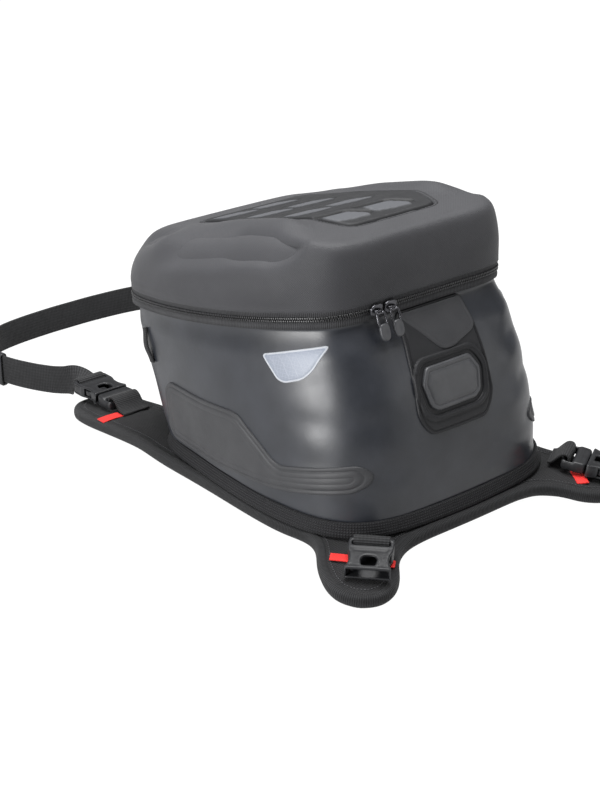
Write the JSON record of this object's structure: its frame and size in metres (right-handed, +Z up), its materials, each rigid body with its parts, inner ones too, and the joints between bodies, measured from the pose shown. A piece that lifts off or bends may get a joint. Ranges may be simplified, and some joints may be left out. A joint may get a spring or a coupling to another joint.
{
  "type": "tank bag",
  "caption": "Strap-on motorcycle tank bag: hollow tub with a zipped moulded lid on a padded four-leg saddle, with side-release buckles and a front strap loop.",
  "frame": {"origin": "on the plane through the four leg tips, below the middle of the tub's base, on the mirror plane of the bag", "axes": "+Y forwards to the handlebar, +X to the bag's right, +Z up"},
  "size_m": [0.3166, 0.6111, 0.2179],
  "materials": {
    "tub_tpu": "satin black-grey coated fabric",
    "lid_eva": "matte fine-weave moulded foam laminate",
    "panel_rubber": "matte",
    "badge_rubber": "matte moulded",
    "reflective": "silver reflective film",
    "saddle_fabric": "woven nylon over foam",
    "grip": "anti-slip",
    "binding": "ribbed tape",
    "webbing": "woven 25 mm webbing",
    "buckle_plastic": "moulded acetal",
    "tab_red": "woven red ribbon",
    "zip_tape": "ribbed tape",
    "zip_coil": "nylon coil",
    "zip_metal": "black gunmetal",
    "board": "plain",
    "mesh": "mesh"
  },
  "bodies": {
    "bag": {"badge_frame": "panel_rubber", "base_board": "board", "base_skirt": "panel_rubber", "buckle_female_rear_left": "buckle_plastic", "buckle_male_front_left": "buckle_plastic", "buckle_male_front_right": "buckle_plastic", "buckle_male_rear_right": "buckle_plastic", "corner_loops": "webbing", "finger_tabs_front": "tab_red", "finger_tabs_rear": "tab_red", "grip_sheet": "grip", "leg_binding_front_left": "binding", "leg_binding_front_right": "binding", "leg_binding_rear_left": "binding", "leg_binding_rear_right": "binding", "leg_pad_front_left": "saddle_fabric", "leg_pad_front_right": "saddle_fabric", "leg_pad_rear_left": "saddle_fabric", "leg_pad_rear_right": "saddle_fabric", "lid_hinge_strip": "zip_tape", "plate_binding": "binding", "rear_badge": "badge_rubber", "rear_panel": "panel_rubber", "reflector_left": "reflective", "reflector_right": "reflective", "saddle_plate": "saddle_fabric", "side_panel_left": "panel_rubber", "side_panel_right": "panel_rubber", "tub_shell": "tub_tpu", "web_loop_front_left": "webbing", "web_loop_front_right": "webbing", "web_loop_rear_left": "webbing", "web_loop_rear_right": "webbing", "zip_coil_lower": "zip_coil", "zip_guard": "panel_rubber", "zip_tape_lower": "zip_tape"},
    "lid": {"lid_shell": "lid_eva", "lid_pad": "panel_rubber", "lid_tread_cells": "panel_rubber", "lid_mesh_pocket": "mesh", "zip_tape_upper": "zip_tape", "zip_coil_upper": "zip_coil"},
    "slider_a": {"zip_slider_a": "zip_metal"},
    "slider_b": {"zip_slider_b": "zip_metal"},
    "pull_a": {"zip_pull_a": "zip_metal"},
    "pull_b": {"zip_pull_b": "zip_metal"},
    "front_strap": {"front_strap_webbing": "webbing", "front_strap_folds": "webbing", "strap_keepers": "buckle_plastic", "buckle_female_front_left": "buckle_plastic", "buckle_female_front_right": "buckle_plastic"},
    "rear_strap": {"rear_strap_webbing": "webbing", "buckle_female_rear_right": "buckle_plastic"},
    "prong_front_left_l": {"buckle_prong_front_left_l": "buckle_plastic"},
    "prong_front_left_r": {"buckle_prong_front_left_r": "buckle_plastic"},
    "prong_front_right_l": {"buckle_prong_front_right_l": "buckle_plastic"},
    "prong_front_right_r": {"buckle_prong_front_right_r": "buckle_plastic"},
    "prong_rear_right_l": {"buckle_prong_rear_right_l": "buckle_plastic"},
    "prong_rear_right_r": {"buckle_prong_rear_right_r": "buckle_plastic"}
  },
  "joints": [
    {"name": "lid_hinge", "type": "hinge", "parent": "bag", "child": "lid", "pos_m": [0, 0.1788, 0.1292], "axis": [-1, 0, 0], "range_deg": [0, 100]},
    {"name": "zip_slide_a", "type": "slide", "parent": "bag", "child": "slider_a", "axis": [-1, 0, 0], "range_m": [0, 0.01]},
    {"name": "zip_slide_b", "type": "slide", "parent": "bag", "child": "slider_b", "axis": [1, 0, 0], "range_m": [0, 0.08]},
    {"name": "pull_swing_a", "type": "hinge", "parent": "slider_a", "child": "pull_a", "pos_m": [-0.048, -0.0769, 0.16662], "axis": [-1, 0, 0], "range_deg": [0, 95]},
    {"name": "pull_swing_b", "type": "hinge", "parent": "slider_b", "child": "pull_b", "pos_m": [-0.0355, -0.0769, 0.16662], "axis": [-1, 0, 0], "range_deg": [0, 95]},
    {"name": "front_strap_release", "type": "slide", "parent": "bag", "child": "front_strap", "axis": [0, 1, 0], "range_m": [0, 0.04]},
    {"name": "rear_strap_release", "type": "slide", "parent": "bag", "child": "rear_strap", "axis": [0.4951, -0.8576, -0.1392], "range_m": [0, 0.035]},
    {"name": "prong_front_left_l", "type": "hinge", "parent": "bag", "child": "prong_front_left_l", "pos_m": [-0.0875, 0.2066, 0.019], "axis": [0, 0, -1], "range_deg": [0, 8], "stiffness_Nm_per_rad": 0.05},
    {"name": "prong_front_left_r", "type": "hinge", "parent": "bag", "child": "prong_front_left_r", "pos_m": [-0.0725, 0.2066, 0.019], "axis": [0, 0, 1], "range_deg": [0, 8], "stiffness_Nm_per_rad": 0.05},
    {"name": "prong_front_right_l", "type": "hinge", "parent": "bag", "child": "prong_front_right_l", "pos_m": [0.0725, 0.2066, 0.019], "axis": [0, 0, -1], "range_deg": [0, 8], "stiffness_Nm_per_rad": 0.05},
    {"name": "prong_front_right_r", "type": "hinge", "parent": "bag", "child": "prong_front_right_r", "pos_m": [0.0875, 0.2066, 0.019], "axis": [0, 0, 1], "range_deg": [0, 8], "stiffness_Nm_per_rad": 0.05},
    {"name": "prong_rear_right_l", "type": "hinge", "parent": "bag", "child": "prong_rear_right_l", "pos_m": [0.12579, -0.12476, 0.02072], "axis": [-0.0696, 0.1205, -0.9903], "range_deg": [0, 8], "stiffness_Nm_per_rad": 0.05},
    {"name": "prong_rear_right_r", "type": "hinge", "parent": "bag", "child": "prong_rear_right_r", "pos_m": [0.1128, -0.13226, 0.02072], "axis": [0.0696, -0.1205, 0.9903], "range_deg": [0, 8], "stiffness_Nm_per_rad": 0.05}
  ],
  "couplings": [
    {"joint": "prong_front_left_l", "follows": "prong_front_left_r", "ratio": 1},
    {"joint": "prong_front_right_l", "follows": "prong_front_right_r", "ratio": 1},
    {"joint": "prong_rear_right_l", "follows": "prong_rear_right_r", "ratio": 1}
  ]
}
